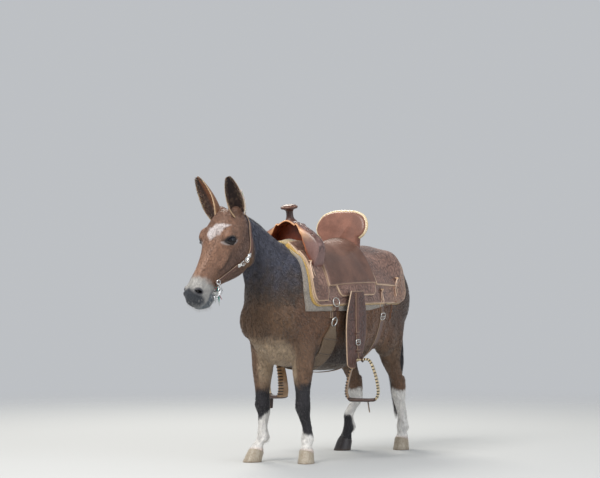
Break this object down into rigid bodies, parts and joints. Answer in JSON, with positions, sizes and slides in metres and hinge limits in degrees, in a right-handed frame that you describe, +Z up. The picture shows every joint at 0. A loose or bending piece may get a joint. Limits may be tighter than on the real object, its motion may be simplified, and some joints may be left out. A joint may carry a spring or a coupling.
{
  "type": "miniature mule model",
  "caption": "A life-size standing model of a small saddled mule: roached mane, long ears, thin tail, western saddle with pad, stirrups and cinches, and a light bridle with curb bit.",
  "frame": {"origin": "on the floor, under the middle of the whole model's box", "axes": "+Z up; the mule faces -Y, and its own left side is towards +X; its length lies along Y"},
  "size_m": [0.5256, 1.3324, 1.0421],
  "materials": {
    "coat": "short fur",
    "dark_coat": "coarse hair",
    "hoof": "horn, satin",
    "eye": "wet gloss",
    "leather": "tooled, satin",
    "dark_leather": "satin",
    "rawhide": "laced rawhide",
    "felt": "thick felt",
    "cinch": "woven cord",
    "metal": "polished",
    "cord": "knotted cord"
  },
  "bodies": {
    "root": {"bit_left": "metal", "bit_right": "metal", "chin_cord": "cord", "cinch_front": "cinch", "cinch_rear": "dark_leather", "cinch_ring_left": "metal", "cinch_ring_right": "metal", "curb_chain": "metal", "ear_left": "coat", "ear_right": "coat", "eye_left": "eye", "eye_right": "eye", "fender_left": "leather", "fender_right": "leather", "foreleg_left": "coat", "foreleg_right": "coat", "front_jockey_left": "leather", "front_jockey_right": "leather", "head": "coat", "headstall": "dark_leather", "hindleg_left": "coat", "hindleg_right": "coat", "hoof_fore_left": "hoof", "hoof_fore_right": "hoof", "hoof_hind_left": "hoof", "hoof_hind_right": "hoof", "latigo_left": "dark_leather", "latigo_right": "dark_leather", "mane": "dark_coat", "neck": "coat", "rear_billet_left": "dark_leather", "rear_billet_right": "dark_leather", "rear_jockey_left": "leather", "rear_jockey_right": "leather", "saddle_cantle": "leather", "saddle_fork": "leather", "saddle_horn": "dark_leather", "saddle_pad": "felt", "saddle_seat": "leather", "saddle_skirt_left": "leather", "saddle_skirt_right": "leather", "saddle_string_left": "dark_leather", "saddle_string_right": "dark_leather", "seat_jockey_left": "leather", "seat_jockey_right": "leather", "stirrup_left": "rawhide", "stirrup_right": "rawhide", "stirrup_strap_left": "dark_leather", "stirrup_strap_right": "dark_leather", "tail": "dark_coat", "torso": "coat"}
  },
  "joints": []
}
